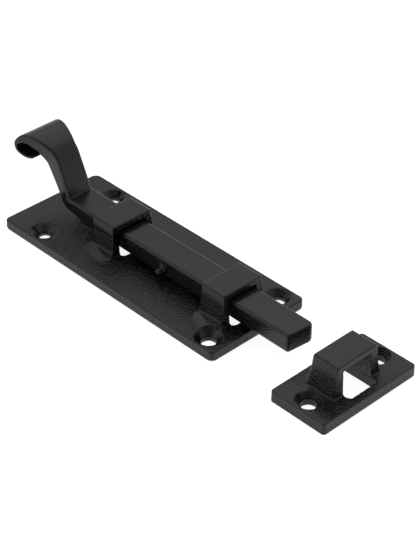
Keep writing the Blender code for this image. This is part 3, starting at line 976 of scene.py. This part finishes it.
def floor_material(look):
    """A pale floor, lit from below so that the object lies on clear white."""
    material, tree, shader = new_material("studio_floor")
    cloud = clouded(tree, node(tree, "TexCoord").outputs["Object"], 6.0, 3.0)
    shade = tuple(part * 0.985 for part in look.floor)
    tone = mixed(tree, ramp(tree, cloud, 0.3, 0.7), (*look.floor, 1), (*shade, 1))
    tree.links.new(tone, shader.inputs["Base Color"])
    shader.inputs["Roughness"].default_value = 0.75
    shader.inputs["Specular IOR Level"].default_value = 0.25
    shader.inputs["Emission Color"].default_value = (1.0, 1.0, 1.0, 1.0)
    seen = node(tree, "LightPath").outputs["Is Camera Ray"]
    glow = added(tree, product(tree, seen, look.floor_bright), look.floor_glow)
    tree.links.new(glow, shader.inputs["Emission Strength"])
    return material


# --- The operators, one for the stage and one for each piece ---


class SLIDEBOLT_OT_stage(Operator):
    """Lay the pale floor, hang the soft lights and set the camera"""

    bl_idname = "slide_bolt.stage"
    bl_label = "Stage"

    def execute(self, context):
        scene = context.scene
        look = scene.slide_bolt_stage
        bm = bmesh.new()
        bmesh.ops.create_circle(bm, cap_ends=True, segments=96, radius=2.5)
        mesh = mesh_of("floor", bm)
        mesh.materials.append(floor_material(look))
        floor = bpy.data.objects.new("studio_floor", mesh)
        scene.collection.objects.link(floor)
        world = bpy.data.worlds.new("studio")
        world.use_nodes = True
        background = world.node_tree.nodes["Background"]
        background.inputs["Color"].default_value = (*look.air, 1.0)
        tree = world.node_tree
        around = node(tree, "TexCoord").outputs["Generated"]
        toward = node(tree, "VectorMath", {0: around, 1: GAP_DIRECTION}, operation="DOT_PRODUCT")
        light = ramp(tree, toward.outputs["Value"], 0.55, 0.95, look.air_light, look.air_light * look.gap)
        tree.links.new(light, background.inputs["Strength"])
        scene.world = world
        self.lamp(scene, "key", KEY_PLACE, 1.2, look.key_light)
        self.lamp(scene, "fill", FILL_PLACE, 1.0, look.fill_light)
        level = math.cos(CAMERA_TILT)
        back = Vector(
            (math.sin(CAMERA_TURN) * level, -math.cos(CAMERA_TURN) * level, math.sin(CAMERA_TILT))
        )
        right = Vector((0, 0, 1)).cross(back).normalized()
        up = back.cross(right)
        data = bpy.data.cameras.new("camera")
        data.sensor_fit = "HORIZONTAL"
        data.sensor_width = 36.0
        data.lens = CAMERA_LENS
        data.clip_start = 0.01
        camera = bpy.data.objects.new("camera", data)
        scene.collection.objects.link(camera)
        facing = Matrix((right, up, back)).transposed().to_4x4()
        rolled = facing @ Matrix.Rotation(CAMERA_ROLL, 4, "Z")
        camera.matrix_world = Matrix.Translation(CAMERA_PLACE) @ rolled
        scene.camera = camera
        scene.view_settings.view_transform = "Standard"
        scene.view_settings.look = "None"
        return {"FINISHED"}

    @staticmethod
    def lamp(scene, name, position, size, power):
        data = bpy.data.lights.new(name, "AREA")
        data.shape = "DISK"
        data.size = size
        data.energy = power
        lamp = bpy.data.objects.new(name, data)
        lamp.location = position
        aim = Vector(LAMP_TARGET) - Vector(position)
        lamp.rotation_euler = aim.to_track_quat("-Z", "Y").to_euler()
        scene.collection.objects.link(lamp)


def bridge_details(x, draft, ledge, shoulder, flare, flare_ahead, flare_behind):
    """One bridge: its place, its legs' draft, the step under its moulded band, and how its feet flare."""
    return {
        "x": x,
        "draft": draft,
        "ledge": ledge,
        "shoulder": shoulder,
        "flare": flare,
        "flare_ahead": flare_ahead,
        "flare_behind": flare_behind,
    }


def casting_details(sizes, node_name):
    """All that casting_form needs to know of one casting."""
    is_keep = node_name == "keep"
    low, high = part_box(node_name)
    draft = sizes.leg_draft
    if is_keep:
        bridges = [bridge_details(KEEP_X, 1.5 * MM, 0.0, 0.8 * MM, 0.2 * MM, 0.0, 0.2 * MM)]
    else:
        bridges = [
            bridge_details(sizes.tail_bridge, draft, 0.25 * MM, 1.1 * MM, 0.2 * MM, 0.2 * MM, 0.3 * MM),
            bridge_details(sizes.nose_bridge, draft, 0.0, 0.9 * MM, 0.3 * MM, 0.2 * MM, 0.6 * MM),
        ]
    return {
        "sizes": sizes,
        "node": node_name,
        "middle": (low.x + high.x) / 2,
        "half_x": (high.x - low.x) / 2,
        "half_y": (high.y - low.y) / 2,
        "thickness": sizes.keep_thickness if is_keep else sizes.plate_thickness,
        "tail_corner": sizes.keep_corner if is_keep else sizes.tail_corner,
        "nose_corner": sizes.keep_corner if is_keep else sizes.nose_corner,
        "near_share": 1.0 if is_keep else sizes.near_share,
        "edge": sizes.keep_edge if is_keep else sizes.plate_edge,
        "slot_half": (sizes.keep_slot if is_keep else sizes.slot) / 2,
        "window_ahead": sizes.keep_window if is_keep else sizes.window_ahead,
        "slot_edge": 0.3 * MM if is_keep else 0.4 * MM,
        "hole_edge": 0.2 * MM if is_keep else 0.35 * MM,
        "rings": 0.12 * MM if is_keep else 0.0,
        "pads": () if is_keep else FOOT_PADS,
        "holes": KEEP_HOLES if is_keep else PLATE_HOLES,
        "skin": keep_skin if is_keep else plate_skin,
        "mesh_share": 0.75 if is_keep else 1.0,
        "bridges": bridges,
    }


def put_casting(context, node_name, name, material_name):
    """Makes one casting, paints it and puts it in the scene."""
    look = context.scene.slide_bolt_paint
    cast = casting_details(context.scene.slide_bolt_casting, node_name)
    material = painted(material_name, look, look.casting_gloss, CASTING_GRAIN)
    add_piece(name, make_casting(name, cast), material, "plate", node_name)


class SLIDEBOLT_OT_backplate(Operator):
    """Make the cast backplate with its two bridges"""

    bl_idname = "slide_bolt.backplate"
    bl_label = "Backplate"

    def execute(self, context):
        put_casting(context, "backplate", "backplate_casting", "backplate_satin_black")
        return {"FINISHED"}


class SLIDEBOLT_OT_keep(Operator):
    """Make the cast keep"""

    bl_idname = "slide_bolt.keep"
    bl_label = "Keep"

    def execute(self, context):
        put_casting(context, "keep", "keep_casting", "keep_satin_black")
        return {"FINISHED"}


class SLIDEBOLT_OT_bar(Operator):
    """Make the sliding bar with its curled handle"""

    bl_idname = "slide_bolt.bar"
    bl_label = "Bar"

    def execute(self, context):
        look = context.scene.slide_bolt_paint
        material = painted("bar_satin_black", look, look.bar_gloss, BAR_GRAIN)
        mesh = make_bar(context.scene.slide_bolt_bar)
        add_piece("sliding_bar", mesh, material, "bolt", "bolt_bar")
        return {"FINISHED"}


class SLIDEBOLT_OT_stop_pin(Operator):
    """Make the swaged stop pin"""

    bl_idname = "slide_bolt.stop_pin"
    bl_label = "Stop pin"

    def execute(self, context):
        look = context.scene.slide_bolt_paint
        material = painted("pin_satin_black", look, look.bar_gloss, PIN_GRAIN, 0.6)
        mesh = make_pin(context.scene.slide_bolt_bar)
        add_piece("swaged_stop_pin", mesh, material, "bolt", "stop_pin")
        return {"FINISHED"}


class SLIDEBOLT_OT_spring(Operator):
    """Make the friction spring under the bar"""

    bl_idname = "slide_bolt.spring"
    bl_label = "Friction spring"

    def execute(self, context):
        material = sprung_steel("tempered_spring_steel", context.scene.slide_bolt_paint)
        mesh = make_spring(context.scene.slide_bolt_bar)
        add_piece("bowed_friction_spring", mesh, material, "plate", "friction_spring")
        return {"FINISHED"}


PIECES = (
    SLIDEBOLT_OT_stage,
    SLIDEBOLT_OT_backplate,
    SLIDEBOLT_OT_keep,
    SLIDEBOLT_OT_bar,
    SLIDEBOLT_OT_stop_pin,
    SLIDEBOLT_OT_spring,
)


class SLIDEBOLT_PT_panel(Panel):
    """The bolt's sizes and looks, and a button for each piece"""

    bl_label = "Slide bolt"
    bl_idname = "SLIDEBOLT_PT_panel"
    bl_space_type = "VIEW_3D"
    bl_region_type = "UI"
    bl_category = "Slide bolt"

    def draw(self, context):
        layout = self.layout
        for operator in PIECES:
            layout.operator(operator.bl_idname)
        for name in SETTINGS:
            box = layout.box()
            group = getattr(context.scene, name)
            box.label(text=name.replace("slide_bolt_", "").capitalize())
            for key in group.bl_rna.properties.keys():
                if key not in ("rna_type", "name"):
                    box.prop(group, key)


SETTINGS = {
    "slide_bolt_casting": CastingSizes,
    "slide_bolt_bar": BarSizes,
    "slide_bolt_paint": PaintLook,
    "slide_bolt_stage": StageLook,
}


def register():
    for kind in (*SETTINGS.values(), *PIECES, SLIDEBOLT_PT_panel):
        bpy.utils.register_class(kind)
    for name, kind in SETTINGS.items():
        setattr(bpy.types.Scene, name, PointerProperty(type=kind))


def unregister():
    for name in SETTINGS:
        delattr(bpy.types.Scene, name)
    for kind in reversed((*SETTINGS.values(), *PIECES, SLIDEBOLT_PT_panel)):
        bpy.utils.unregister_class(kind)


def main():
    register()
    bpy.ops.slide_bolt.stage()
    bpy.ops.slide_bolt.backplate()
    bpy.ops.slide_bolt.keep()
    bpy.ops.slide_bolt.bar()
    bpy.ops.slide_bolt.stop_pin()
    bpy.ops.slide_bolt.spring()


if __name__ == "__main__":
    main()
